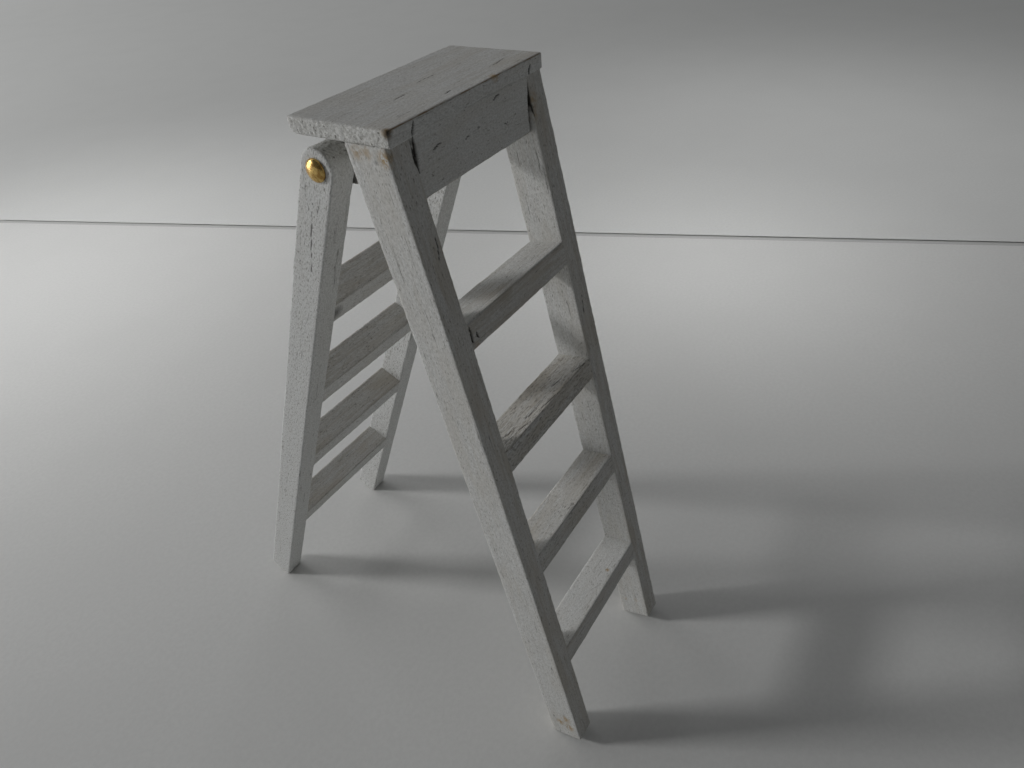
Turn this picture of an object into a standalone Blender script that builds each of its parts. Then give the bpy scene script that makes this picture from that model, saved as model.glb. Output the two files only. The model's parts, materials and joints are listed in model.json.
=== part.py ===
"""A dolls' house step ladder at 1:12 scale, in painted wood.

Two leaning front stiles carry four steps and a top board. Two rear legs with four slats
between them swing as one frame on two brass pins, which are driven into the ends of a
rail under the top board. The ladder stands open, with +X to the climber's right, +Y from
the steps towards the rear legs, +Z up, and its origin on the floor in the middle of its
bounding box.

Outlines are (y, z) points in millimetres, with y measured from the front edge of the top
board and z from the floor. CENTRE_Y then moves the ladder so that its box is centred.
"""

import math

import bmesh
import bpy
from mathutils import Matrix, Vector

MM = 0.001

# Whole ladder
HEIGHT = 120.0
GLUE_LINE = 0.05
EASED_EDGE = 0.15
STOCK = 4.2  # thickness of the sticks that the stiles, legs, apron and rail are cut from

# Top board
BOARD_LENGTH = 33.8
BOARD_DEPTH = 16.4
BOARD_THICKNESS = 2.2
BOARD_BACK_ROUND = 0.9
UNDERSIDE = HEIGHT - BOARD_THICKNESS

# Front stiles: where their front faces cross the underside of the board and the floor
STILE_DEPTH = 6.5
STILE_TOP_Y = 0.5
STILE_FLOOR_Y = -23.0
STILE_TOP_HALF = 17.1  # half the width over the two stiles, at the board and at the floor
STILE_FLOOR_HALF = 18.2
STILE_FOOT_RISE = 1.8

# Rear legs: where their front faces cross the underside of the board and the floor
LEG_DEPTH = 5.6
LEG_TOP_Y = 8.7
LEG_FLOOR_Y = 61.8
LEG_TOP_HALF = 16.45
LEG_FLOOR_HALF = 18.5
LEG_FOOT_RISE = 2.2
FOOT_FLAT = 1.0  # worn flat on the edge that each foot stands on

# Steps and slats: thickness, and height of each top front edge along the stile or leg
RUNG_THICKNESS = 4.1
STEP_HEIGHTS = (26.0, 50.1, 72.6, 94.8)
SLAT_HEIGHTS = (27.9, 52.8, 75.1, 97.4)

# Apron and hinge rail, which hang from the board
APRON_BOTTOM = 109.9
RAIL_HALF_LENGTH = 12.15

# Hinge pins
PIVOT_Z = 113.3
SHANK_RADIUS = 0.5
LEG_HOLE_RADIUS = 0.56  # a running fit on the shank
RAIL_HOLE_RADIUS = 0.53
HEAD_RADIUS = 1.6
HEAD_HEIGHT = 0.75
HEAD_RIM = 0.12
HEAD_CLEARANCE = 0.06
SHANK_IN_RAIL = 5.0
POINT_LENGTH = 0.8
HOLE_PAST_POINT = 0.3
DRILL_OVERSHOOT = 1.0  # how far a drill starts and ends outside the wood

# Facets of the round stretches
ROUND_SIDES = 32
DOME_STEPS = 8
LEG_ROUND_STEPS = 16
BOARD_ROUND_STEPS = 6
SHARP_ANGLE = math.radians(40)

STILE_LEAN = math.atan2(STILE_TOP_Y - STILE_FLOOR_Y, UNDERSIDE)
LEG_LEAN = math.atan2(LEG_FLOOR_Y - LEG_TOP_Y, UNDERSIDE)


def along(low, high, z):
    """The value at height z of a quantity that runs evenly from the floor to the underside."""
    return low + (high - low) * z / UNDERSIDE


def stile_front_y(z):
    return along(STILE_FLOOR_Y, STILE_TOP_Y, z)


def stile_back_y(z):
    return stile_front_y(z) + STILE_DEPTH / math.cos(STILE_LEAN)


def stile_outer_x(z):
    return along(STILE_FLOOR_HALF, STILE_TOP_HALF, z)


def leg_front_y(z):
    return along(LEG_FLOOR_Y, LEG_TOP_Y, z)


def leg_back_y(z):
    return leg_front_y(z) + LEG_DEPTH / math.cos(LEG_LEAN)


def leg_outer_x(z):
    return along(LEG_FLOOR_HALF, LEG_TOP_HALF, z)


CENTRE_Y = (stile_front_y(STILE_FOOT_RISE) + leg_back_y(LEG_FOOT_RISE)) / 2
PIVOT_Y = (leg_front_y(PIVOT_Z) + leg_back_y(PIVOT_Z)) / 2


def world(x, y, z):
    """A point of the ladder in metres, in the frame whose origin is under the box's centre."""
    return Vector((x, y - CENTRE_Y, z)) * MM


PIVOT = world(0, PIVOT_Y, PIVOT_Z)


def clear_scene():
    for obj in list(bpy.data.objects):
        bpy.data.objects.remove(obj, do_unlink=True)


def make_material(name, colour, roughness, metallic):
    material = bpy.data.materials.new(name)
    material.use_nodes = True
    shader = material.node_tree.nodes["Principled BSDF"]
    shader.inputs["Base Color"].default_value = (*colour, 1)
    shader.inputs["Roughness"].default_value = roughness
    shader.inputs["Metallic"].default_value = metallic
    return material


def add_object(name, bm, material, centre, parent):
    """Makes an object from a mesh in world coordinates, with its origin at centre."""
    bmesh.ops.recalc_face_normals(bm, faces=bm.faces)
    bm.transform(Matrix.Translation(-centre))
    mesh = bpy.data.meshes.new(name)
    bm.to_mesh(mesh)
    bm.free()
    mesh.materials.append(material)
    obj = bpy.data.objects.new(name, mesh)
    bpy.context.scene.collection.objects.link(obj)
    obj.location = centre
    if parent is not None:
        obj.parent = parent
        obj.location = centre - parent.location
    return obj


def ease_edges(obj, width):
    bevel = obj.modifiers.new("eased edges", "BEVEL")
    bevel.width = width * MM
    bevel.segments = 1
    bevel.limit_method = "ANGLE"
    bevel.angle_limit = SHARP_ANGLE


def stick_sides(outer_x, side):
    """The outer and inner side of a stile or leg, as functions that give x at height z."""
    return lambda z: side * outer_x(z), lambda z: side * (outer_x(z) - STOCK)


def sides_between(outer_x):
    """The two sides of a piece that is glued between the stiles or between the legs."""
    reach = STOCK + GLUE_LINE
    return lambda z: reach - outer_x(z), lambda z: outer_x(z) - reach


def square_sides(half_length):
    """The two square-cut ends of a piece that is centred on the ladder."""
    return lambda z: -half_length, lambda z: half_length


def prism(name, outline, sides, material, parent=None):
    """A stick with the given (y, z) outline, between two sides whose x depends on z."""
    low_x, high_x = sides
    bm = bmesh.new()
    low = [bm.verts.new(world(low_x(z), y, z)) for y, z in outline]
    high = [bm.verts.new(world(high_x(z), y, z)) for y, z in outline]
    bm.faces.new(low)
    bm.faces.new(high)
    for i in range(len(outline)):
        j = (i + 1) % len(outline)
        bm.faces.new((low[i], low[j], high[j], high[i]))
    centre = sum((vert.co for vert in bm.verts), Vector()) / len(bm.verts)
    obj = add_object(name, bm, material, centre, parent)
    ease_edges(obj, EASED_EDGE)
    return obj


def arc(centre, radius, start, end, steps):
    """Points on a circle in the (y, z) plane, from one angle to another in degrees."""
    points = []
    for i in range(steps + 1):
        angle = math.radians(start + (end - start) * i / steps)
        points.append((centre[0] + radius * math.cos(angle), centre[1] + radius * math.sin(angle)))
    return points


def turned(name, profile, side, material):
    """A round piece about the hinge axis, from (x, radius) points that start and end on it."""
    bm = bmesh.new()
    rings = []
    for x, radius in profile:
        if radius == 0:
            rings.append([bm.verts.new(world(side * x, PIVOT_Y, PIVOT_Z))])
            continue
        circle = arc((PIVOT_Y, PIVOT_Z), radius, 0, 360 - 360 / ROUND_SIDES, ROUND_SIDES - 1)
        rings.append([bm.verts.new(world(side * x, y, z)) for y, z in circle])
    for first, second in zip(rings, rings[1:]):
        for i in range(ROUND_SIDES):
            j = (i + 1) % ROUND_SIDES
            if len(first) == 1:
                bm.faces.new((first[0], second[i], second[j]))
            elif len(second) == 1:
                bm.faces.new((first[i], first[j], second[0]))
            else:
                bm.faces.new((first[i], first[j], second[j], second[i]))
    obj = add_object(name, bm, material, world(side * profile[0][0], PIVOT_Y, PIVOT_Z), None)
    obj.data.shade_smooth()
    obj.data.set_sharp_from_angle(angle=SHARP_ANGLE)
    return obj


def drill(target, side, start_x, end_x, radius):
    """Cuts a round hole about the hinge axis, from one x to another."""
    profile = ((start_x, 0), (start_x, radius), (end_x, radius), (end_x, 0))
    cutter = turned(f"{target.name}_drill_{'left' if side < 0 else 'right'}", profile, side, None)
    cutter.hide_render = True
    cutter.display_type = "WIRE"
    cut = target.modifiers.new("pin hole", "BOOLEAN")
    cut.operation = "DIFFERENCE"
    cut.object = cutter


def rung_outline(foot_y, lean, height, depth):
    """The four corners of a step or slat. A positive lean tips the stick's foot forward."""
    up = (math.sin(lean), math.cos(lean))
    back = (math.cos(lean), -math.sin(lean))
    corners = ((height - RUNG_THICKNESS, 0), (height - RUNG_THICKNESS, depth), (height, depth), (height, 0))
    return [(foot_y + up[0] * s + back[0] * d, up[1] * s + back[1] * d) for s, d in corners]


def make_top_board(paint):
    outline = [(0, HEIGHT), (0, UNDERSIDE)]
    centre = (BOARD_DEPTH - BOARD_BACK_ROUND, UNDERSIDE + BOARD_BACK_ROUND)
    outline += arc(centre, BOARD_BACK_ROUND, -90, 0, BOARD_ROUND_STEPS)
    outline.append((BOARD_DEPTH, HEIGHT))
    prism("top_board", outline, square_sides(BOARD_LENGTH / 2), paint)


def make_apron_and_rail(paint):
    top = UNDERSIDE - GLUE_LINE
    apron = [(0, APRON_BOTTOM), (STOCK, APRON_BOTTOM), (STOCK, top), (0, top)]
    prism("front_apron", apron, sides_between(stile_outer_x), paint)
    front = PIVOT_Y - STOCK / 2
    back = PIVOT_Y + STOCK / 2
    rail = [(front, APRON_BOTTOM), (back, APRON_BOTTOM), (back, top), (front, top)]
    return prism("hinge_rail", rail, square_sides(RAIL_HALF_LENGTH), paint)


def make_stile(name, side, paint):
    top = UNDERSIDE - GLUE_LINE
    outline = [
        (stile_front_y(top), top),
        (stile_front_y(STILE_FOOT_RISE), STILE_FOOT_RISE),
        (stile_back_y(0) - FOOT_FLAT, 0),
        (stile_back_y(0), 0),
        (stile_back_y(top), top),
    ]
    prism(name, outline, stick_sides(stile_outer_x, side), paint)


def make_step(name, height, paint):
    outline = rung_outline(STILE_FLOOR_Y, STILE_LEAN, height, STILE_DEPTH)
    prism(name, outline, sides_between(stile_outer_x), paint)


def make_leg(name, side, hinge, paint):
    lean = math.degrees(LEG_LEAN)
    outline = [
        (leg_front_y(0), 0),
        (leg_front_y(0) + FOOT_FLAT, 0),
        (leg_back_y(LEG_FOOT_RISE), LEG_FOOT_RISE),
    ]
    outline += arc((PIVOT_Y, PIVOT_Z), LEG_DEPTH / 2, lean, lean + 180, LEG_ROUND_STEPS)
    leg = prism(name, outline, stick_sides(leg_outer_x, side), paint, hinge)
    outside = leg_outer_x(PIVOT_Z) + DRILL_OVERSHOOT
    inside = leg_outer_x(PIVOT_Z) - STOCK - DRILL_OVERSHOOT
    drill(leg, side, inside, outside, LEG_HOLE_RADIUS)


def make_slat(name, height, hinge, paint):
    outline = rung_outline(LEG_FLOOR_Y, -LEG_LEAN, height, LEG_DEPTH)
    prism(name, outline, sides_between(leg_outer_x), paint, hinge)


def make_pin(name, side, rail, brass):
    """A round-headed pin: a low dome on a thin rim, a straight shank and a short point."""
    seat = leg_outer_x(PIVOT_Z) + HEAD_CLEARANCE
    tip = RAIL_HALF_LENGTH - SHANK_IN_RAIL
    crown = seat + HEAD_RIM
    dome = arc((0, 0), 1, 0, 90, DOME_STEPS)
    profile = [(crown + (HEAD_HEIGHT - HEAD_RIM) * out, HEAD_RADIUS * up) for out, up in dome]
    profile += [
        (seat, HEAD_RADIUS),
        (seat, SHANK_RADIUS),
        (tip + POINT_LENGTH, SHANK_RADIUS),
        (tip, 0),
    ]
    turned(name, profile, side, brass)
    drill(rail, side, tip - HOLE_PAST_POINT, RAIL_HALF_LENGTH + DRILL_OVERSHOOT, RAIL_HOLE_RADIUS)


def main():
    clear_scene()
    paint = make_material("white paint on wood", (0.62, 0.61, 0.58), 0.7, 0)
    brass = make_material("brass", (0.72, 0.5, 0.16), 0.28, 1)

    hinge = bpy.data.objects.new("rear_frame_hinge", None)
    hinge.location = PIVOT
    bpy.context.scene.collection.objects.link(hinge)

    make_top_board(paint)
    rail = make_apron_and_rail(paint)
    for side, word in ((-1, "left"), (1, "right")):
        make_stile(f"front_stile_{word}", side, paint)
        make_leg(f"rear_leg_{word}", side, hinge, paint)
        make_pin(f"pivot_pin_{word}", side, rail, brass)
    for number, height in enumerate(STEP_HEIGHTS, start=1):
        make_step(f"step_{number}", height, paint)
    for number, height in enumerate(SLAT_HEIGHTS, start=1):
        make_slat(f"rear_slat_{number}", height, hinge, paint)


main()
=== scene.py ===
import json
import math
import random

import bmesh
import bpy
import numpy as np
from mathutils import Matrix, Vector
from mathutils.geometry import intersect_point_line
from mathutils.kdtree import KDTree


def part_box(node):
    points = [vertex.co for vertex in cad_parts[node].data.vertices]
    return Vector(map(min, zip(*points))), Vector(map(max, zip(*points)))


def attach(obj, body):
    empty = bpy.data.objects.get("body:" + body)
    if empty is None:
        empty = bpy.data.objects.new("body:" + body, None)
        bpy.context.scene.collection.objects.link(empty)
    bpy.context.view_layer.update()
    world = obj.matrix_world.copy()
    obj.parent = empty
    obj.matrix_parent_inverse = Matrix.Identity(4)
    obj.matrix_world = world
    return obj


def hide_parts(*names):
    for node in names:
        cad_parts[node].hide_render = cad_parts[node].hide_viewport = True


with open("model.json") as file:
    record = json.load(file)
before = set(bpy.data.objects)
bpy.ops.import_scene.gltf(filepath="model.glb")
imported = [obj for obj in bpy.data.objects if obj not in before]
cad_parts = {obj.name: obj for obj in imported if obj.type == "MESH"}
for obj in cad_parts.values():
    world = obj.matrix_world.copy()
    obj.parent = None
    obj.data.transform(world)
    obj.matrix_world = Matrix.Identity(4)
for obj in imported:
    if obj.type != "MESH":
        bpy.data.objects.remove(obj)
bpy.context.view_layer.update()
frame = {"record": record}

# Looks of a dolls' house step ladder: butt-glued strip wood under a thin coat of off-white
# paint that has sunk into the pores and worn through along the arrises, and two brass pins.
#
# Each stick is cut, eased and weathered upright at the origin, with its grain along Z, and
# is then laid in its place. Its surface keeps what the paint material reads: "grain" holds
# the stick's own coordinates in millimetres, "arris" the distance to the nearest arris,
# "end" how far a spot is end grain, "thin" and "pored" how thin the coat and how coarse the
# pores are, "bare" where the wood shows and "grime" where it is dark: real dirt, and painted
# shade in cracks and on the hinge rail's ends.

MM = 0.001

# Driving dimensions that the nodes' boxes don't give, in metres and radians
STOCK = 4.2 * MM
STILE_DEPTH = 6.5 * MM
STILE_LEAN = math.atan2(23.5, 117.8)
STILE_FOOT_RISE = 1.8 * MM
LEG_DEPTH = 5.6 * MM
LEG_LEAN = math.atan2(53.1, 117.8)
LEG_FOOT_RISE = 2.2 * MM
FOOT_FLAT = 1.0 * MM
RUNG_THICKNESS = 4.1 * MM
BOARD_BACK_ROUND = 0.9 * MM
HOLE_RADIUS = 0.56 * MM
SHANK_RADIUS = 0.5 * MM
HEAD_HEIGHT = 0.75 * MM
HEAD_RIM = 0.12 * MM
POINT_LENGTH = 0.8 * MM

EASING = 0.16 * MM      # radius that sandpaper and paint leave on an arris
TUCK = 0.2 * MM         # how far a glued end reaches into the face it meets
SEAM_LAP = 0.4 * MM     # how far the pieces below the board run up behind its paint
FINE = 0.16 * MM        # spacing of the surface points on short pieces
COARSE = 0.2 * MM       # and on the four long sticks
SPARE = 12 * MM         # what a long stick is cut from, beyond its finished length
LINE_STEP = 0.4 * MM    # how closely an arris is walked to find the points near it

SHARP = math.radians(35)        # an edge that turns further than this is an arris
QUARTER_TURN = math.radians(90)
EASING_FACETS = 3
BOARD_BACK_FACETS = 8
LEG_TOP_FACETS = 14
LEG_TOP_ROUND = LEG_DEPTH / 2 * 0.998   # just short of meeting in the middle of the top
HOLE_SIDES = 32
HEAD_SIDES = 64
HEAD_RINGS = 14
HEAD_CLOSING = 0.995            # the share of the head's radius that its rings take up

DOWN = Vector((0, 0, -1))
INTO_FRONT = Vector((0, 1, 0))
INTO_SIDE = Vector((1, 0, 0))
LAY_ALONG_X = Matrix.Rotation(QUARTER_TURN, 4, "Y")

SIDES = ((-1, "left"), (1, "right"))
PIVOT = Vector(frame["record"]["behaviour"]["joints"][0]["pos_m"])


# ---------------------------------------------------------------- working on a piece

def start_bar(name, size, centre=(0, 0, 0)):
    """A bar of the given size in edit mode, all selected."""
    bpy.ops.object.select_all(action="DESELECT")
    bpy.ops.mesh.primitive_cube_add(size=1)
    piece = bpy.context.active_object
    piece.name = name
    bpy.ops.object.mode_set(mode="EDIT")
    bpy.ops.transform.resize(value=size)
    bpy.ops.transform.translate(value=centre)
    return piece


def pick_edges(piece, test):
    """Selects the edges whose middle and direction pass a test."""
    bpy.context.tool_settings.mesh_select_mode = (False, True, False)
    bpy.ops.mesh.select_all(action="DESELECT")
    mesh = bmesh.from_edit_mesh(piece.data)
    for edge in mesh.edges:
        first, second = (vert.co for vert in edge.verts)
        if test((first + second) / 2, (second - first).normalized()):
            edge.select_set(True)
    bmesh.update_edit_mesh(piece.data)


def pick_faces(piece, test):
    """Selects the faces whose middle and normal pass a test."""
    bpy.context.tool_settings.mesh_select_mode = (False, False, True)
    bpy.ops.mesh.select_all(action="DESELECT")
    mesh = bmesh.from_edit_mesh(piece.data)
    mesh.normal_update()
    for face in mesh.faces:
        if test(face.calc_center_median(), face.normal):
            face.select_set(True)
    bmesh.update_edit_mesh(piece.data)


def saw(place, point, normal):
    """Saws the piece that is being edited along a plane, given where the piece will lie."""
    back = place.inverted()
    bpy.ops.mesh.select_all(action="SELECT")
    bpy.ops.mesh.bisect(
        plane_co=back @ Vector(point),
        plane_no=(back.to_3x3() @ Vector(normal)).normalized(),
        use_fill=True,
        clear_outer=True,
        threshold=1e-7,
    )


def apply_modifier(piece, kind, **settings):
    modifier = piece.modifiers.new(kind.lower(), kind)
    for key, value in settings.items():
        setattr(modifier, key, value)
    bpy.context.view_layer.objects.active = piece
    bpy.ops.object.modifier_apply(modifier=modifier.name)


def drill_through(piece, centre):
    """A pin hole across the stick, along its own X."""
    bpy.ops.object.select_all(action="DESELECT")
    bpy.ops.mesh.primitive_cylinder_add(
        vertices=HOLE_SIDES, radius=HOLE_RADIUS, depth=4 * STOCK, location=centre,
        rotation=(0, QUARTER_TURN, 0),
    )
    bit = bpy.context.active_object
    apply_modifier(piece, "BOOLEAN", object=bit, operation="DIFFERENCE")
    bpy.data.objects.remove(bit, do_unlink=True)


def arrises_of(piece):
    """The sharp edges of the sawn stick, as pairs of points."""
    mesh = bmesh.new()
    mesh.from_mesh(piece.data)
    sharp = [
        (edge.verts[0].co.copy(), edge.verts[1].co.copy())
        for edge in mesh.edges
        if len(edge.link_faces) == 2 and edge.calc_face_angle() > SHARP
    ]
    mesh.free()
    return sharp


def ease_arrises(piece):
    apply_modifier(
        piece, "BEVEL", width=EASING, segments=EASING_FACETS, limit_method="ANGLE",
        angle_limit=SHARP,
    )


# ---------------------------------------------------------------- weathering

ARRIS_BAND = 0.4        # millimetres from an arris that the knocks reach
WHOLE_COAT = 0.3        # millimetres that a whole coat keeps an arris's wear away
WEIGHT_STEPS = 10
END_RELIEF = (0.5, 3)   # where end grain starts, and how fast it rises, for the relief
END_COLOUR = (0.6, 4)   # and for the colour


def points_of(piece):
    points = np.empty(len(piece.data.vertices) * 3, np.float32)
    piece.data.vertices.foreach_get("co", points)
    return points.reshape(-1, 3)


def normals_of(piece):
    normals = np.empty(len(piece.data.vertices) * 3, np.float32)
    piece.data.vertices.foreach_get("normal", normals)
    return normals.reshape(-1, 3)


def move_points(piece, points):
    piece.data.vertices.foreach_set("co", points.astype(np.float32).ravel())
    piece.data.update()


def weigh_points(piece, name, weights):
    """Makes a vertex group that keeps a weight for each point."""
    group = piece.vertex_groups.new(name=name)
    for step in range(1, WEIGHT_STEPS + 1):
        members = np.flatnonzero(np.round(weights * WEIGHT_STEPS) == step)
        if len(members):
            group.add(members.tolist(), step / WEIGHT_STEPS, "REPLACE")


def noise_relief(piece, name, size, strength, ruler, group=None, depth=1, middle=0.5):
    """Moves the surface in and out by a noise, measured with a ruler empty."""
    texture = bpy.data.textures.new(name, "CLOUDS")
    texture.noise_scale = size
    texture.noise_depth = depth
    settings = dict(
        texture=texture, texture_coords="OBJECT", texture_coords_object=ruler,
        strength=strength, mid_level=middle,
    )
    if group is not None:
        settings["vertex_group"] = group
    apply_modifier(piece, "DISPLACE", **settings)


def make_ruler(name, across, along):
    """An empty whose axes are as long as one unit of noise, across and along the grain."""
    ruler = bpy.data.objects.new(name, None)
    bpy.context.scene.collection.objects.link(ruler)
    ruler.scale = (across, across, along)
    return ruler


EVEN = make_ruler("even_ruler", MM, MM)
GRAIN = make_ruler("grain_ruler", MM, 9 * MM)


def ramp(values, start, rate):
    """0 up to the start, then rising at that rate to 1."""
    return np.clip((values - start) * rate, 0, 1)


def follow(rule, points, normals):
    """A rule is one number for the whole stick, or a function of its points and normals."""
    return rule(points, normals) if callable(rule) else rule


def weather(piece, arrises, spacing, shift, worn, thin, pored):
    """Turns a sawn, eased stick into hand-sanded, painted wood, and notes its surface.

    worn, thin and pored are rules for how worn the arrises, how thin the paint and how
    coarse the pores are, from 0 to 1, on the upright stick.
    """
    apply_modifier(piece, "REMESH", mode="VOXEL", voxel_size=spacing, adaptivity=0)
    bpy.ops.object.select_all(action="DESELECT")
    piece.select_set(True)
    bpy.ops.object.shade_smooth()

    for ruler in (EVEN, GRAIN):
        ruler.location = Vector(shift) * MM
    bpy.context.view_layer.update()

    points, normals = points_of(piece), normals_of(piece)
    reach = distance_to(arrises, points)
    end = np.abs(normals[:, 2])
    worn, thin, pored = (follow(rule, points, normals) for rule in (worn, thin, pored))
    weigh_points(piece, "end grain", ramp(end, *END_RELIEF))
    weigh_points(piece, "arrises", np.clip(1 - reach / ARRIS_BAND, 0, 1))

    noise_relief(piece, "hand sanding", size=7, strength=0.09 * MM, ruler=EVEN)
    noise_relief(piece, "raised grain", size=0.5, strength=0.03 * MM, ruler=GRAIN, depth=2)
    noise_relief(
        piece, "knocks", size=1.3, strength=0.16 * MM, ruler=EVEN, group="arrises",
        depth=2, middle=0.62,
    )
    noise_relief(
        piece, "open end grain", size=0.4, strength=0.16 * MM, ruler=EVEN, group="end grain",
        middle=0.6,
    )
    piece.vertex_groups.clear()

    surface = {
        "arris": reach + (1 - worn) * WHOLE_COAT,
        "end": ramp(end, *END_COLOUR),
        "thin": thin,
        "pored": pored,
        "bare": 0,
        "dirt_and_shade": 0,
    }
    for name, values in surface.items():
        note(piece, name, np.zeros(len(points)) + values)
    grain = points / MM + np.array(shift, np.float32)
    layer = piece.data.attributes.new("grain", "FLOAT_VECTOR", "POINT")
    layer.data.foreach_set("vector", grain.astype(np.float32).ravel())


def note(piece, name, values):
    """Keeps one number for each point of the surface, for the material to read."""
    layer = piece.data.attributes.get(name) or piece.data.attributes.new(name, "FLOAT", "POINT")
    layer.data.foreach_set("value", np.asarray(values, np.float32))


def noted(piece, name):
    """What a piece keeps for each point under that name."""
    values = np.empty(len(piece.data.vertices), np.float32)
    piece.data.attributes[name].data.foreach_get("value", values)
    return values


def distance_to(lines, points):
    """The distance in millimetres from each point to the nearest of some straight lines."""
    owners = []
    for index, (first, second) in enumerate(lines):
        count = max(2, int((second - first).length / LINE_STEP))
        owners += [(first.lerp(second, step / count), index) for step in range(count + 1)]
    finder = KDTree(len(owners))
    for number, (place, index) in enumerate(owners):
        finder.insert(place, number)
    finder.balance()
    distances = np.empty(len(points), np.float32)
    for number, point in enumerate(points):
        point = Vector(point)
        first, second = lines[owners[finder.find(point)[1]][1]]
        nearest, share = intersect_point_line(point, first, second)
        nearest = first.lerp(second, min(max(share, 0), 1))
        distances[number] = (point - nearest).length
    return distances / MM


def lay(piece, place):
    """Moves a finished stick to its place. The object itself stays at the origin."""
    piece.data.transform(place)
    piece.data.update()


# ---------------------------------------------------------------- marks of age and glue, with painted shade in cracks

SPOT_EDGE = 1.2             # a spot fades out this many radii from its middle
CRACK_REACH = 0.6 * MM      # surface further than this from a crack's line isn't pressed
CRACK_END = 0.02            # the share of a crack's length that its blunt ends take up
CRACK_WAVES = (7, 29)       # how fast a crack wavers, in radians along its length
SMALL_WAVE = 0.4            # the quicker wave's share of the slower one
# How fast a crack darkens, for dirt and for painted shade inside it
CRACK_SHADE_AND_DIRT = 1.6            # how much faster a crack darkens than it deepens


def stain(piece, layer, spots):
    """Adds round soft spots, given as (x, y, z, radius, strength) in millimetres."""
    points = points_of(piece) / MM
    values = noted(piece, layer)
    for x, y, z, radius, strength in spots:
        away = np.linalg.norm(points - np.array((x, y, z)), axis=1) / radius
        values = np.maximum(values, strength * np.clip(SPOT_EDGE - away, 0, 1))
    note(piece, layer, values)


def split(piece, start, finish, width, depth, inward, waver=0.07):
    """Opens a crack between two points, in millimetres, pressed along the inward direction, and
    darkens it for dirt and painted shade.
    """
    points = points_of(piece)
    first = np.array(start) * MM
    along = np.array(finish) * MM - first
    length = np.linalg.norm(along)
    along = along / length
    inward = np.array(Vector(inward).normalized())
    side = np.cross(along, inward)
    travel = (points - first) @ along
    share = np.clip(travel / length, 0, 1)
    slow, quick = CRACK_WAVES
    wander = waver * MM * (np.sin(share * slow + start[0]) + SMALL_WAVE * np.sin(share * quick))
    away = np.abs((points - first) @ side - wander)
    under = np.abs((points - first) @ inward)
    taper = np.sqrt(np.sin(np.pi * np.clip(share, CRACK_END, 1 - CRACK_END)))
    inside = (travel > 0) & (travel < length) & (under < CRACK_REACH)
    press = np.where(inside, np.clip(1 - away / (width * MM * taper), 0, 1), 0)
    move_points(piece, points + press[:, None] * inward * depth * MM * taper[:, None])
    # The darkening follows how deep the crack is pressed: painted shade inside it, as well as dirt
    shade_and_dirt = np.clip(press * CRACK_SHADE_AND_DIRT, 0, 1)
    note(piece, "dirt_and_shade", np.maximum(noted(piece, "dirt_and_shade"), shade_and_dirt))


# ---------------------------------------------------------------- the wooden pieces

UPRIGHT_WORN = 0.1
STILE_PORED = 0.4
TREAD_WORN = 0.3
SLAT_PORED = 0.5
SLAT_THIN = (0.4, 0.1)      # on a slat's top, and on its other faces
# How dark the hinge rail's ends are painted: painted shade for the shadow that falls between the
# legs and the stiles
RAIL_END_PAINTED_SHADE = 0.75

# How thin the coat is on each step's top and on its other faces, and how coarse its pores
TREADS = {4: (0.2, 0.5, 0.35), 3: (0.45, 0.35, 1.0), 2: (0.3, 0.3, 0.6), 1: (0.1, 0.3, 0.45)}


def finish_stick(piece, place, spacing, shift, worn=0.0, thin=0.0, pored=0.3, hole=None):
    """Leaves edit mode, then eases, drills, weathers and lays a stick that has been sawn."""
    bpy.ops.object.mode_set(mode="OBJECT")
    arrises = arrises_of(piece)
    ease_arrises(piece)
    if hole is not None:
        drill_through(piece, hole)
    weather(piece, arrises, spacing, shift, worn, thin, pored)
    lay(piece, place)
    return piece


def start_level(name, node, lap=0.0):
    """A stick that lies level across the ladder, taller by the lap, its size and its place.

    Laid down, its own -X side is its top and its +Y side its back.
    """
    low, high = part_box(node)
    high = high + Vector((0, 0, lap))
    size = high - low
    place = Matrix.Translation((low + high) / 2) @ LAY_ALONG_X
    return start_bar(name, (size.z, size.y, size.x)), size, place


def make_board():
    board, size, place = start_level("board", "top_board")
    pick_edges(board, lambda mid, way: abs(way.z) > 0.9 and mid.x > 0 and mid.y > 0)
    bpy.ops.mesh.bevel(offset=BOARD_BACK_ROUND, segments=BOARD_BACK_FACETS, affect="EDGES")

    def worn(points, normals):
        """Most along the front of the top, less behind, and not at all at the near end."""
        front = np.clip(-points[:, 1] / size.y + 0.5, 0, 1)
        on_top = points[:, 0] < -0.2 * size.z
        near = points[:, 2] < 0.3 * MM - size.x / 2
        return np.where(on_top & ~near, 0.9 + 0.1 * front, -0.5)

    def thin(points, normals):
        """Thicker towards the back of the top, and an even coat elsewhere."""
        return np.where(normals[:, 0] < -0.5, 0.2 - 0.15 * points[:, 1] / size.y, 0.1)

    return finish_stick(board, place, FINE, (3, 40, 11), worn, thin, pored=0.2)


def make_apron(shift):
    """The board's apron. Its top runs up behind the paint of the board's front edge."""
    apron, size, place = start_level("apron", "front_apron", SEAM_LAP)

    def worn(points, normals):
        """Along the lower arrises only."""
        return np.where(points[:, 0] > 0, 1.0, 0.0)

    return finish_stick(apron, place, FINE, shift, worn, thin=0.12, pored=0.2)


def make_rail(shift):
    """The stick under the board that the pins are driven into. Its ends are painted dark, as painted
    shade for the shadow between the legs and the stiles.
    """
    rail, size, place = start_level("rail", "hinge_rail", SEAM_LAP / 2)
    finish_stick(rail, place, FINE, shift, thin=0.4)
    # The ends are painted dark as painted shade for the shadow between the legs and the stiles
    note(rail, "dirt_and_shade", noted(rail, "end") * RAIL_END_PAINTED_SHADE)
    return rail


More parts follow.
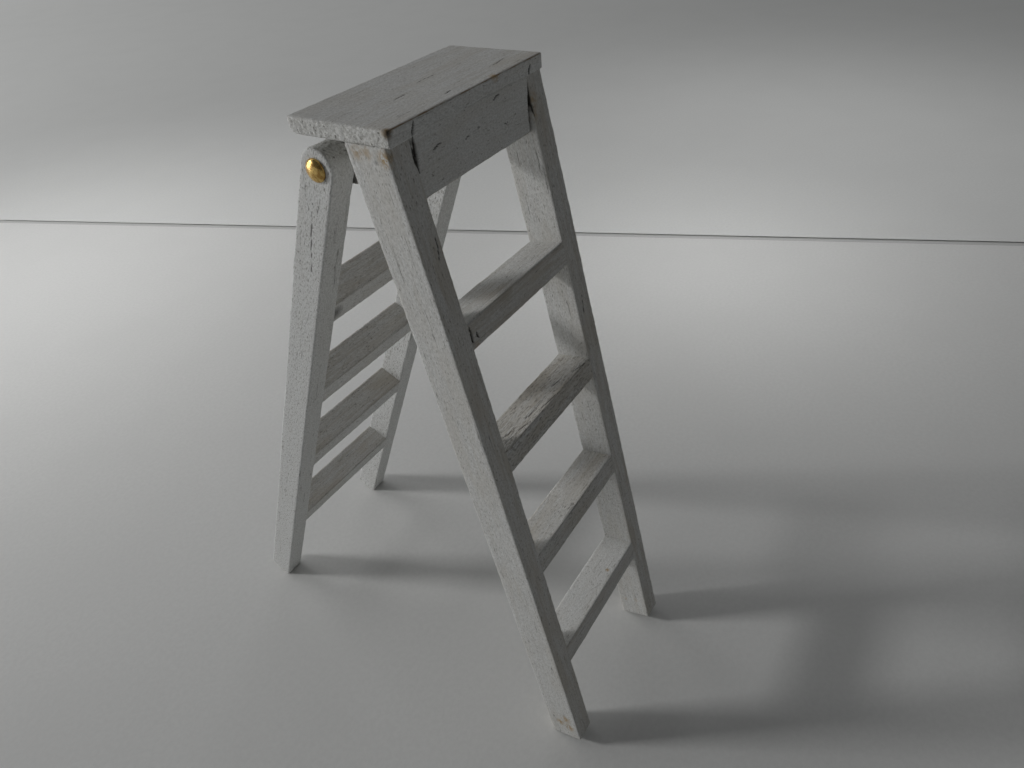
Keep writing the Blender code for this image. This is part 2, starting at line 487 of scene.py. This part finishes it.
def make_rung(name, node, lean, depth, shift, worn, thin, pored):
    """A step or slat: a stick across the ladder, tipped to lie square to its uprights."""
    low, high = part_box(node)
    middle = (low + high) / 2
    length = high.x - low.x
    place = Matrix.Translation(middle) @ Matrix.Rotation(lean, 4, "X") @ LAY_ALONG_X
    rung = start_bar(name, (RUNG_THICKNESS, depth, length + 2 * TUCK))
    return finish_stick(rung, place, FINE, shift, worn, thin, pored)


def stile_thin(points, normals):
    """The coat on a stile is thin on its front and back, and fuller on its sides."""
    return np.where(np.abs(normals[:, 1]) > 0.5, 0.35, 0.14)


def leg_pored(points, normals):
    """A leg's sides are coarse and its front and back close-grained."""
    return np.where(np.abs(normals[:, 1]) > 0.5, 0.2, 0.75)


def tread_thin(top, other):
    """The rule for a step's or slat's coat, on its top and on its other faces."""
    return lambda points, normals: np.where(normals[:, 0] < -0.5, top, other)


def slat_worn(points, normals):
    """A slat is worn through along its upper back arris."""
    return np.where((points[:, 0] < 0) & (points[:, 1] > 0), 0.95, 0.2)


def upright_place(node, side, lean, line_y):
    """Where a long stick lies: the middle of its centre line, leaning and splayed."""
    low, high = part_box(node)
    foot_x = (low.x if side < 0 else high.x) - side * STOCK / 2
    head_x = (high.x if side < 0 else low.x) + side * STOCK / 2
    height = high.z / 2
    splay = math.atan2(head_x - foot_x, high.z)
    middle = Vector(((foot_x + head_x) / 2, line_y(height), height))
    turn = Matrix.Rotation(splay, 4, "Y") @ Matrix.Rotation(lean, 4, "X")
    return Matrix.Translation(middle) @ turn


def saw_foot(place, first, second):
    """Saws a foot along the line through two (y, z) points, and flat where it stands."""
    across = Vector((0, second[1] - first[1], first[0] - second[0]))
    saw(place, (0, *first), across)
    saw(place, (0, 0, 0), DOWN)


def make_stile(name, node, side, shift):
    low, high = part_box(node)

    def front(z):
        return low.y + (z - STILE_FOOT_RISE) * math.tan(STILE_LEAN)

    def back(z):
        return front(z) + STILE_DEPTH / math.cos(STILE_LEAN)

    place = upright_place(node, side, -STILE_LEAN, lambda z: (front(z) + back(z)) / 2)
    stile = start_bar(name, (STOCK, STILE_DEPTH, high.z / math.cos(STILE_LEAN) + SPARE))
    saw(place, (0, 0, high.z + SEAM_LAP / 2), -DOWN)
    saw_foot(place, (front(STILE_FOOT_RISE), STILE_FOOT_RISE), (back(0) - FOOT_FLAT, 0))
    return finish_stick(stile, place, COARSE, shift, UPRIGHT_WORN, stile_thin, STILE_PORED)


def make_leg(name, node, side, shift):
    """A round-topped leg, drilled for its pin at the middle of the round."""
    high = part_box(node)[1]
    half = LEG_DEPTH / 2 / math.cos(LEG_LEAN)

    def line(z):
        return PIVOT.y + (PIVOT.z - z) * math.tan(LEG_LEAN)

    place = upright_place(node, side, LEG_LEAN, line)
    pivot = (PIVOT.z - high.z / 2) / math.cos(LEG_LEAN)
    top = pivot + LEG_DEPTH / 2
    length = top + high.z / 2 / math.cos(LEG_LEAN) + SPARE
    leg = start_bar(name, (STOCK, LEG_DEPTH, length), (0, 0, top - length / 2))
    pick_edges(leg, lambda mid, way: abs(way.x) > 0.9 and mid.z > 0)
    bpy.ops.mesh.bevel(offset=LEG_TOP_ROUND, segments=LEG_TOP_FACETS, affect="EDGES")
    first = (line(0) - half + FOOT_FLAT, 0)
    saw_foot(place, first, (line(LEG_FOOT_RISE) + half, LEG_FOOT_RISE))
    return finish_stick(
        leg, place, COARSE, shift, UPRIGHT_WORN, 0.0, leg_pored, hole=(0, 0, pivot)
    )


# ---------------------------------------------------------------- the brass pins

def make_pin(name, node, side):
    """A round-headed pin: a domed head raised ring by ring, a shank and a point."""
    low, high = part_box(node)
    radius = (high.y - low.y) / 2
    crown = low.x if side < 0 else high.x
    tip = high.x if side < 0 else low.x
    seat = crown - side * HEAD_HEIGHT
    bpy.ops.object.select_all(action="DESELECT")
    bpy.ops.mesh.primitive_cylinder_add(
        vertices=HEAD_SIDES, radius=radius, depth=HEAD_RIM,
        location=(0, 0, HEAD_RIM / 2),
    )
    pin = bpy.context.active_object
    pin.name = name
    bpy.ops.object.transform_apply(location=True)
    bpy.ops.object.mode_set(mode="EDIT")
    pick_faces(pin, lambda mid, normal: normal.z > 0.9)
    for ring in range(HEAD_RINGS):
        here, there = (QUARTER_TURN * step / HEAD_RINGS for step in (ring, ring + 1))
        bpy.ops.mesh.inset(
            thickness=radius * (math.cos(here) - math.cos(there)) * HEAD_CLOSING,
            depth=(HEAD_HEIGHT - HEAD_RIM) * (math.sin(there) - math.sin(here)),
        )
    pick_faces(pin, lambda mid, normal: normal.z < -0.9 and mid.z < HEAD_RIM / 2)
    bpy.ops.mesh.inset(thickness=radius - SHANK_RADIUS)
    shank = abs(tip - seat) - POINT_LENGTH
    bpy.ops.mesh.extrude_region_move(TRANSFORM_OT_translate={"value": (0, 0, -shank)})
    bpy.ops.mesh.extrude_region_move(TRANSFORM_OT_translate={"value": (0, 0, -POINT_LENGTH)})
    bpy.ops.mesh.merge(type="CENTER")
    bpy.ops.object.mode_set(mode="OBJECT")
    bpy.ops.object.shade_smooth_by_angle(angle=SHARP)
    turn = Matrix.Rotation(side * QUARTER_TURN, 4, "Y")
    lay(pin, Matrix.Translation((seat, PIVOT.y, PIVOT.z)) @ turn)
    return pin


# ---------------------------------------------------------------- materials

PAINT = (0.8, 0.805, 0.795)
PAINT_SHADE = (0.6, 0.605, 0.59)
BRUSH_STREAK = (0.53, 0.515, 0.47)
DULL_PATCH = (0.58, 0.54, 0.47)
WOOD_THROUGH = (0.45, 0.385, 0.3)
OPEN_PORE = (0.17, 0.15, 0.12)
GRAIN_LINE = (0.08, 0.068, 0.055)
END_GRAIN = (0.74, 0.74, 0.72)
END_SHADE = (0.46, 0.455, 0.425)
END_PIT = (0.16, 0.15, 0.13)
WORN_WOOD = (0.3, 0.185, 0.085)
BARE_WOOD = (0.43, 0.28, 0.11)
# Near-black for dirt, and for painted shade in cracks and on the hinge rail's ends
DIRT_AND_SHADE = (0.03, 0.025, 0.02)
BRASS = (0.74, 0.52, 0.19)
TARNISH = (0.44, 0.26, 0.08)


class Tree:
    """Adds nodes to a material one after another."""

    def __init__(self, material):
        material.use_nodes = True
        self.nodes = material.node_tree.nodes
        self.links = material.node_tree.links
        self.shader = self.nodes["Principled BSDF"]

    def node(self, kind, inputs=(), **settings):
        made = self.nodes.new(kind)
        for key, value in settings.items():
            setattr(made, key, value)
        for key, value in dict(inputs).items():
            if isinstance(value, bpy.types.NodeSocket):
                self.links.new(value, made.inputs[key])
            else:
                made.inputs[key].default_value = value
        return made

    def read(self, name, output="Fac"):
        """What the surface keeps under that name."""
        return self.node("ShaderNodeAttribute", attribute_name=name).outputs[output]

    def math(self, operation, first, second=0.0):
        return self.node("ShaderNodeMath", {0: first, 1: second}, operation=operation).outputs[0]

    def times(self, first, second):
        return self.math("MULTIPLY", first, second)

    def plus(self, first, second):
        return self.math("ADD", first, second)

    def minus(self, first, second):
        return self.math("SUBTRACT", first, second)

    def noise(self, grain, across, along, detail=2.0, rough=0.5):
        """Noise that is stretched along the grain. Both rates are per millimetre."""
        scaled = self.node(
            "ShaderNodeVectorMath", {0: grain, 1: (across, across, along)}, operation="MULTIPLY"
        ).outputs[0]
        inputs = {"Vector": scaled, "Scale": 1.0, "Detail": detail, "Roughness": rough}
        return self.node("ShaderNodeTexNoise", inputs).outputs["Fac"]

    def step(self, value, low, high, bottom=0.0, top=1.0):
        """Rises smoothly from bottom to top as the value goes from low to high."""
        inputs = {"Value": value, "From Min": low, "From Max": high, "To Min": bottom, "To Max": top}
        return self.node(
            "ShaderNodeMapRange", inputs, interpolation_type="SMOOTHSTEP", clamp=True
        ).outputs[0]

    def mix(self, share, first, second):
        """Mixes two colours, each given as a socket or as (r, g, b)."""
        colours = [c if isinstance(c, bpy.types.NodeSocket) else (*c, 1) for c in (first, second)]
        made = self.node("ShaderNodeMix", {0: share, 6: colours[0], 7: colours[1]}, data_type="RGBA")
        return made.outputs[2]

    def feed(self, name, value):
        """Gives the shader one even value, or what another node makes."""
        if isinstance(value, bpy.types.NodeSocket):
            self.links.new(value, self.shader.inputs[name])
        else:
            self.shader.inputs[name].default_value = value

    def raise_surface(self, height, strength, relief):
        """Bumps the surface by a height, which stands for that much relief in metres."""
        inputs = {"Strength": strength, "Distance": relief, "Height": height}
        self.feed("Normal", self.node("ShaderNodeBump", inputs).outputs[0])


def coat_colour(tree, grain, tooth, streaks):
    """A sandy tooth, faint brush streaks and slow dull patches. Where the coat is thin, the
    brown of the wood comes through in streaks."""
    thin = tree.read("thin")
    patches = tree.noise(grain, 0.3, 0.08, 2.0)
    dull = tree.plus(tree.times(thin, 1.2), 0.08)
    colour = tree.mix(tree.step(tooth, 0.33, 0.68), PAINT_SHADE, PAINT)
    colour = tree.mix(tree.times(tree.step(streaks, 0.45, 0.75), dull), colour, BRUSH_STREAK)
    colour = tree.mix(tree.times(tree.step(patches, 0.45, 0.7), dull), colour, DULL_PATCH)
    showing = tree.times(thin, tree.step(streaks, 0.3, 0.65, 0.35, 1.0))
    return tree.mix(tree.times(showing, 0.8), colour, WOOD_THROUGH)


def open_pores(tree, grain, coarse):
    """Short open pores, more of them where the wood is coarse."""
    pores = tree.plus(tree.noise(grain, 5.2, 1.5, 2.0, 0.55), coarse)
    return tree.step(pores, 0.66, 0.76)


def grain_lines(tree, grain, coarse):
    """A few long lines of the wood's figure, broken here and there."""
    figure = tree.noise(grain, 0.8, 0.03, 2.0, 0.45)
    line = tree.math("ABSOLUTE", tree.minus(figure, 0.5))
    broken = tree.plus(tree.noise(grain, 1.0, 0.14, 2.0), coarse)
    return tree.times(tree.step(line, 0.0, 0.007, 1, 0), tree.step(broken, 0.6, 0.66))


def end_colour(tree, grain, speckle):
    """The coarse speckle and pits of sawn end grain."""
    pits = tree.noise(grain, 1.9, 1.9, 2.0, 0.6)
    colour = tree.mix(tree.step(speckle, 0.35, 0.62), END_SHADE, END_GRAIN)
    return tree.mix(tree.step(pits, 0.61, 0.7), colour, END_PIT)


def wear_colour(tree, grain, colour):
    """Brown wood along worn arrises, tan wood at bare spots, dark glue and dirt, with painted shade
    in cracks and on the hinge rail's ends.
    """
    ragged = tree.times(tree.noise(grain, 1.4, 0.5, 3.0, 0.6), 0.24)
    worn = tree.step(tree.minus(tree.plus(ragged, 0.06), tree.read("arris")), 0.0, 0.1)
    colour = tree.mix(tree.times(worn, 0.85), colour, WORN_WOOD)
    patchy = tree.step(tree.noise(grain, 2.2, 1.6, 3.0, 0.6), 0.36, 0.56)
    colour = tree.mix(tree.times(tree.read("bare"), patchy), colour, BARE_WOOD)
    # Darkens with dirt, and with painted shade in cracks and on the hinge rail's ends
    return tree.mix(tree.read("dirt_and_shade"), colour, DIRT_AND_SHADE)


def painted_wood():
    material = bpy.data.materials.new("off-white paint on strip wood")
    tree = Tree(material)
    grain = tree.read("grain", "Vector")
    end = tree.read("end")
    side = tree.minus(1.0, end)
    coarse = tree.times(tree.read("pored"), 0.12)
    tooth = tree.noise(grain, 4.6, 2.6, 3.0, 0.62)
    streaks = tree.noise(grain, 2.4, 0.16, 3.0, 0.55)
    speckle = tree.noise(grain, 3.0, 3.0, 3.0, 0.72)
    pores = tree.times(open_pores(tree, grain, coarse), side)
    lines = tree.times(grain_lines(tree, grain, coarse), side)

    colour = coat_colour(tree, grain, tooth, streaks)
    colour = tree.mix(tree.times(pores, 0.62), colour, OPEN_PORE)
    colour = tree.mix(tree.times(lines, 0.65), colour, GRAIN_LINE)
    colour = tree.mix(tree.times(end, 0.85), colour, end_colour(tree, grain, speckle))
    tree.feed("Base Color", wear_colour(tree, grain, colour))

    height = tree.minus(tree.times(tooth, 0.8), pores)
    height = tree.minus(height, tree.times(lines, 1.5))
    height = tree.plus(height, tree.times(tree.times(speckle, end), 2.0))
    tree.raise_surface(height, 0.6, 0.06 * MM)
    tree.feed("Roughness", tree.step(streaks, 0.2, 0.8, 0.6, 0.78))
    tree.feed("Specular IOR Level", 0.35)
    return material


def polished_brass():
    """Brass with a little tarnish, a few soft dents and fine scratches."""
    material = bpy.data.materials.new("polished brass")
    tree = Tree(material)
    place = tree.node("ShaderNodeTexCoord").outputs["Object"]
    per_mm = tree.node(
        "ShaderNodeVectorMath", {0: place, 1: (1 / MM,) * 3}, operation="MULTIPLY"
    ).outputs[0]
    tarnish = tree.noise(per_mm, 1.6, 1.6, 4.0, 0.6)
    dents = tree.noise(per_mm, 0.9, 0.9, 0.0)
    scratches = tree.noise(per_mm, 6.0, 20.0, 2.0)
    tree.feed("Base Color", tree.mix(tree.step(tarnish, 0.38, 0.62), BRASS, TARNISH))
    tree.raise_surface(tree.plus(tree.times(dents, 3.0), tree.times(scratches, 0.6)), 0.4, 0.05 * MM)
    tree.feed("Roughness", tree.step(tarnish, 0.35, 0.75, 0.2, 0.34))
    tree.feed("Metallic", 1.0)
    return material


def white_card(name, colour):
    """Smooth uncoated card, with a faint tooth and a slow mottle."""
    material = bpy.data.materials.new(name)
    tree = Tree(material)
    place = tree.node("ShaderNodeTexCoord").outputs["Object"]
    tooth = tree.noise(place, 0.9 / MM, 0.9 / MM, 3.0, 0.65)
    mottle = tree.noise(place, 0.03 / MM, 0.03 / MM, 2.0)
    shade = tree.mix(tree.step(tooth, 0.3, 0.7), [c * 0.955 for c in colour], colour)
    shade = tree.mix(tree.step(mottle, 0.4, 0.7, 0, 0.35), shade, [c * 0.94 for c in colour])
    tree.feed("Base Color", shade)
    tree.raise_surface(tooth, 0.25, 0.08 * MM)
    tree.feed("Roughness", 0.85)
    tree.feed("Specular IOR Level", 0.25)
    return material


# ---------------------------------------------------------------- stage, light and camera

# The cards meet along a line through this point, and leave a narrow gap
EDGE_POINT = Vector((163.9, 89.3, 0)) * MM
EDGE_ANGLE = math.atan2(-451.6, 173.0)
GAP = 3.4 * MM
CARD_REACH = 2.4
CARD_LEVEL = -0.02 * MM     # just under the feet
# A darker grey sheet lies this low under the gap: its grey is painted shade for the line where the
# cards meet
SHADE_SHEET_LEVEL = -0.5 * MM

CAMERA_LENS = 25.01
CAMERA_PLACE = Vector((-75.28, -79.06, 146.28)) * MM
CAMERA_TURN = [math.radians(angle) for angle in (51.453, 4.618, -57.208)]


def lay_card(name, size, start, height, colour):
    """A card that lies flat, from a distance past the meeting line towards the back."""
    along = Vector((math.cos(EDGE_ANGLE), math.sin(EDGE_ANGLE), 0))
    out = Vector((-along.y, along.x, 0))
    bpy.ops.object.select_all(action="DESELECT")
    bpy.ops.mesh.primitive_plane_add(size=1)
    card = bpy.context.active_object
    card.name = name
    middle = EDGE_POINT + out * (start + size / 2) + Vector((0, 0, height))
    card.data.transform(Matrix.Diagonal((2 * CARD_REACH, size, 1, 1)))
    card.data.transform(Matrix.Translation(middle) @ Matrix.Rotation(EDGE_ANGLE, 4, "Z"))
    card.data.materials.append(white_card(name.replace("_", " "), colour))
    return card


def make_stage():
    """The card that the ladder stands on, one behind it edge to edge, and a darker grey sheet under
    the gap between them, as painted shade for the dark line where they meet.
    """
    front = lay_card("front_card", CARD_REACH, -CARD_REACH, CARD_LEVEL, (0.8, 0.8, 0.785))
    back = lay_card("back_card", CARD_REACH, GAP, CARD_LEVEL, (0.81, 0.815, 0.8))
    # The sheet's darker grey is painted shade along the line where the cards meet, on top of the
    # real shadow in the gap
    under = lay_card("table", 2 * CARD_REACH, -CARD_REACH, SHADE_SHEET_LEVEL, (0.6, 0.6, 0.59))


def place_lamp(name, data, where):
    """Puts a light in the room, out of the camera's sight."""
    lamp = bpy.data.objects.new(name, data)
    bpy.context.scene.collection.objects.link(lamp)
    lamp.location = where
    lamp.visible_camera = False
    return lamp


def soft_light(name, where, aim, size, watts, spread=180):
    """A soft rectangular light at one point, turned to another."""
    data = bpy.data.lights.new(name, "AREA")
    data.shape = "RECTANGLE"
    data.size, data.size_y = size
    data.energy = watts
    data.spread = math.radians(spread)
    lamp = place_lamp(name, data, where)
    lamp.rotation_euler = (Vector(where) - Vector(aim)).to_track_quat("Z", "Y").to_euler()


def low_globe(where, radius, watts):
    """A globe that stands low beside the window and lights all round."""
    data = bpy.data.lights.new("globe", "POINT")
    data.shadow_soft_size = radius
    data.energy = watts
    place_lamp("globe", data, where)


def around(azimuth, elevation, distance):
    """A point that far from the ladder, turning from +Y towards -X."""
    turn, up = math.radians(azimuth), math.radians(elevation)
    level = distance * math.cos(up)
    return Vector((-math.sin(turn) * level, math.cos(turn) * level, distance * math.sin(up)))


def make_light():
    """A small window for the shadows, a globe and large dim skies, and washes on the cards."""
    near, far, right = (0.05, 0.05, 0), (0.1, 0.05, 0), (0.1, 0.1, 0)
    wide, low = (0.8, 0.8), (0.8, 0.45)
    soft_light("window", around(30.9, 24.6, 1.5), aim=(0, 0, 0), size=(0.2, 0.12), watts=5.9)
    low_globe(around(30, 9, 0.8), radius=0.13, watts=4.0)
    soft_light("high_sky", around(0, 45, 1.6), aim=right, size=wide, watts=1.7)
    soft_light("back_sky", around(-20, 12, 1.6), aim=near, size=low, watts=0.9)
    soft_light("far_sky", around(-60, 40, 1.6), aim=far, size=wide, watts=1.0)
    soft_light("far_low_sky", around(-60, 12, 1.6), aim=far, size=low, watts=0.32)
    soft_light("left_wash", (0.02, 0.32, 0.45), (0.03, 0.26, 0), (0.2, 0.2), 0.075, spread=50)
    soft_light("right_wash", (0.15, 0, 0.3), (0.17, 0, 0), (0.12, 0.12), 0.013, spread=35)
    soft_light("back_wash", (0.3, 0, 0.45), (0.32, 0, 0), (0.2, 0.2), 0.05, spread=60)
    make_room()
    bpy.context.scene.view_settings.view_transform = "Standard"


def make_room():
    """A room that gives little light of its own and looks pale grey past the cards."""
    world = bpy.data.worlds.new("dim room")
    world.use_nodes = True
    nodes, links = world.node_tree.nodes, world.node_tree.links
    given = nodes["Background"]
    given.inputs["Color"].default_value = (0.95, 0.98, 1.0, 1)
    given.inputs["Strength"].default_value = 0.075
    seen = nodes.new("ShaderNodeBackground")
    seen.inputs["Color"].default_value = (0.3, 0.305, 0.3, 1)
    mix = nodes.new("ShaderNodeMixShader")
    links.new(nodes.new("ShaderNodeLightPath").outputs["Is Camera Ray"], mix.inputs[0])
    links.new(given.outputs[0], mix.inputs[1])
    links.new(seen.outputs[0], mix.inputs[2])
    links.new(mix.outputs[0], nodes["World Output"].inputs["Surface"])
    bpy.context.scene.world = world


def make_camera():
    data = bpy.data.cameras.new("camera")
    data.lens = CAMERA_LENS
    data.clip_start = 5 * MM
    data.clip_end = 20
    camera = bpy.data.objects.new("camera", data)
    bpy.context.scene.collection.objects.link(camera)
    camera.location = CAMERA_PLACE
    camera.rotation_euler = CAMERA_TURN
    bpy.context.scene.camera = camera


# ---------------------------------------------------------------- marks on each piece

# Every place below is on the standing ladder, in millimetres

def open_glue_joints(board, apron, left, right):
    """The apron's ends, where the glue has opened: the gaps are pressed in and darkened for dirt and
    for painted shade inside them.
    """
    split(board, (-12.3, -22.15, 119.7), (-12.8, -22.15, 117.7), 0.22, 0.25, INTO_FRONT)
    split(apron, (-12.75, -22.15, 118.0), (-12.6, -22.15, 113.4), 0.36, 0.4, INTO_FRONT)
    split(left, (-12.95, -22.4, 117.6), (-13.0, -22.9, 114.4), 0.25, 0.2, INTO_FRONT)
    split(board, (13.6, -22.15, 119.2), (13.2, -22.15, 117.7), 0.25, 0.2, INTO_FRONT)
    split(apron, (12.8, -22.15, 118.0), (12.75, -22.15, 110.0), 0.3, 0.4, INTO_FRONT)
    split(right, (13.0, -22.3, 117.6), (13.15, -23.4, 112.0), 0.22, 0.2, INTO_FRONT)
    stain(right, "bare", [(13.6, -22.5, 114.4, 1.3, 0.6), (13.4, -22.7, 112.4, 0.9, 0.4)])


def mark_board(board):
    """A chipped corner, a bare spot on the front arris and a few dashes on top."""
    stain(board, "bare", [(-16.8, -22.0, 119.9, 0.9, 1.0), (5.0, -22.1, 120.0, 0.9, 0.9)])
    stain(board, "dirt_and_shade", [(-16.8, -22.1, 119.7, 0.8, 0.9)])
    split(board, (8.4, -18.95, 120), (12.9, -18.6, 120), 0.12, 0.06, DOWN)
    split(board, (-3.6, -20.2, 120), (-2.0, -20.2, 120), 0.15, 0.08, DOWN)
    split(board, (-8.0, -15.4, 120), (-4.6, -15.3, 120), 0.1, 0.04, DOWN)
    split(board, (-1.0, -13.6, 120), (3.4, -13.4, 120), 0.1, 0.04, DOWN)


def scratch_apron(apron):
    split(apron, (-9.7, -22.15, 115.3), (-7.8, -22.15, 115.5), 0.16, 0.1, INTO_FRONT)
    split(apron, (4.0, -22.15, 117.2), (5.6, -22.15, 117.5), 0.16, 0.1, INTO_FRONT)
    split(apron, (-3.0, -22.15, 114.3), (-1.9, -22.15, 114.4), 0.1, 0.06, INTO_FRONT)
    split(apron, (6.0, -22.15, 113.2), (7.0, -22.15, 113.3), 0.1, 0.06, INTO_FRONT)


def mark_treads(pieces):
    """Step 4 has a gap at its near end and a brownish smudge, and step 3 has dried in splits."""
    tread = pieces["tread_4"]
    split(tread, (-12.95, -26.6, 92.6), (-12.9, -27.35, 89.0), 0.26, 0.3, INTO_FRONT)
    split(tread, (-11.9, -27.1, 91.2), (-11.6, -27.3, 90.0), 0.25, 0.15, INTO_FRONT)
    stain(tread, "bare", [(-12.4, -27.4, 89.2, 0.8, 0.6)])
    stain(tread, "thin", [(-4.0, -25.5, 92.5, 4.5, 0.8)])
    tread = pieces["tread_3"]
    for start, finish in (
        ((11.9, -30.9, 71.1), (8.4, -30.2, 71.1)),
        ((2.9, -30.9, 71.1), (-2.6, -30.2, 71.1)),
        ((-2.2, -29.6, 71.0), (-5.6, -29.2, 70.9)),
        ((-5.6, -30.5, 71.1), (-8.4, -29.8, 71.0)),
        ((-8.0, -29.0, 70.8), (-11.4, -28.3, 70.7)),
        ((6.5, -29.2, 70.9), (3.4, -28.8, 70.8)),
    ):
        split(tread, start, finish, 0.14, 0.12, DOWN, waver=0.05)
    stain(pieces["tread_1"], "bare", [(5.4, -38.6, 25.2, 0.5, 0.9)])


def mark_uprights(pieces, left, right):
    """Glue and dirt at the stiles' tops and feet, fine splits, and slat 4's dark near end."""
    stain(left, "bare", [(-17.1, -16.9, 116.9, 1.1, 0.6), (-17.1, -18.5, 117.1, 1.0, 0.55)])
    stain(left, "bare", [(-17.1, -21.3, 116.7, 1.2, 0.9), (-18.15, -41.4, 6.8, 1.2, 0.8)])
    stain(left, "bare", [(-18.15, -40.3, 4.8, 1.0, 0.9), (-18.15, -42.2, 4.4, 1.1, 1.0)])
    stain(left, "dirt_and_shade", [(-17.15, -19.8, 116.1, 0.35, 0.5)])
    stain(right, "bare", [(13.95, -38.9, 4.9, 0.6, 0.5), (13.95, -41.6, 6.1, 0.6, 0.5)])
    split(right, (15.2, -28.7, 82.4), (14.4, -30.2, 74.6), 0.13, 0.08, INTO_FRONT)
    split(left, (-13.7, -24.0, 106.2), (-14.2, -24.7, 102.6), 0.11, 0.06, INTO_FRONT)
    split(pieces["leg_left"], (-16.6, -6.0, 108.5), (-16.9, -1.2, 95.5), 0.1, 0.05, INTO_SIDE)
    stain(pieces["slat_4"], "dirt_and_shade", [(-12.7, 1.0, 87.2, 1.6, 0.85), (-12.7, 2.6, 88.2, 1.3, 0.6)])


def mark_age(pieces):
    board, apron = pieces["board"], pieces["apron"]
    left, right = pieces["stile_left"], pieces["stile_right"]
    open_glue_joints(board, apron, left, right)
    mark_board(board)
    scratch_apron(apron)
    mark_treads(pieces)
    mark_uprights(pieces, left, right)


# ---------------------------------------------------------------- the whole ladder

def hand_over(piece, node, body, material):
    """Gives a finished piece its material, hides the node that it stands in for, and hangs it on its
    body.
    """
    piece.data.materials.clear()
    piece.data.materials.append(material)
    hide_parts(node)
    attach(piece, body)


def make_wood():
    """Every wooden piece, with the node that it replaces and the body that it rides on."""
    shifts = random.Random(12)

    def shift():
        """A fresh stretch of grain, in millimetres."""
        return tuple(shifts.uniform(0, 400) for _ in range(3))

    front, rear = "front_frame", "rear_frame"
    pieces = [(make_board(), "top_board", front)]
    pieces.append((make_apron(shift()), "front_apron", front))
    pieces.append((make_rail(shift()), "hinge_rail", front))
    for side, word in SIDES:
        node = f"front_stile_{word}"
        pieces.append((make_stile(f"stile_{word}", node, side, shift()), node, front))
        node = f"rear_leg_{word}"
        pieces.append((make_leg(f"leg_{word}", node, side, shift()), node, rear))
    for number in range(1, 5):
        node = f"step_{number}"
        top, other, pored = TREADS[number]
        tread = make_rung(
            f"tread_{number}", node, -STILE_LEAN, STILE_DEPTH, shift(),
            TREAD_WORN, tread_thin(top, other), pored,
        )
        pieces.append((tread, node, front))
        node = f"rear_slat_{number}"
        slat = make_rung(
            f"slat_{number}", node, LEG_LEAN, LEG_DEPTH, shift(),
            slat_worn, tread_thin(*SLAT_THIN), SLAT_PORED,
        )
        pieces.append((slat, node, rear))
    return pieces


def make_ladder():
    wood, brass = painted_wood(), polished_brass()
    pieces = make_wood()
    mark_age({piece.name: piece for piece, node, body in pieces})
    for piece, node, body in pieces:
        hand_over(piece, node, body, wood)
    for side, word in SIDES:
        node = f"pivot_pin_{word}"
        pin = make_pin(f"brass_pin_{word}", node, side)
        hand_over(pin, node, "front_frame", brass)


make_camera()
make_light()
make_stage()
make_ladder()
for ruler in (EVEN, GRAIN):
    bpy.data.objects.remove(ruler, do_unlink=True)
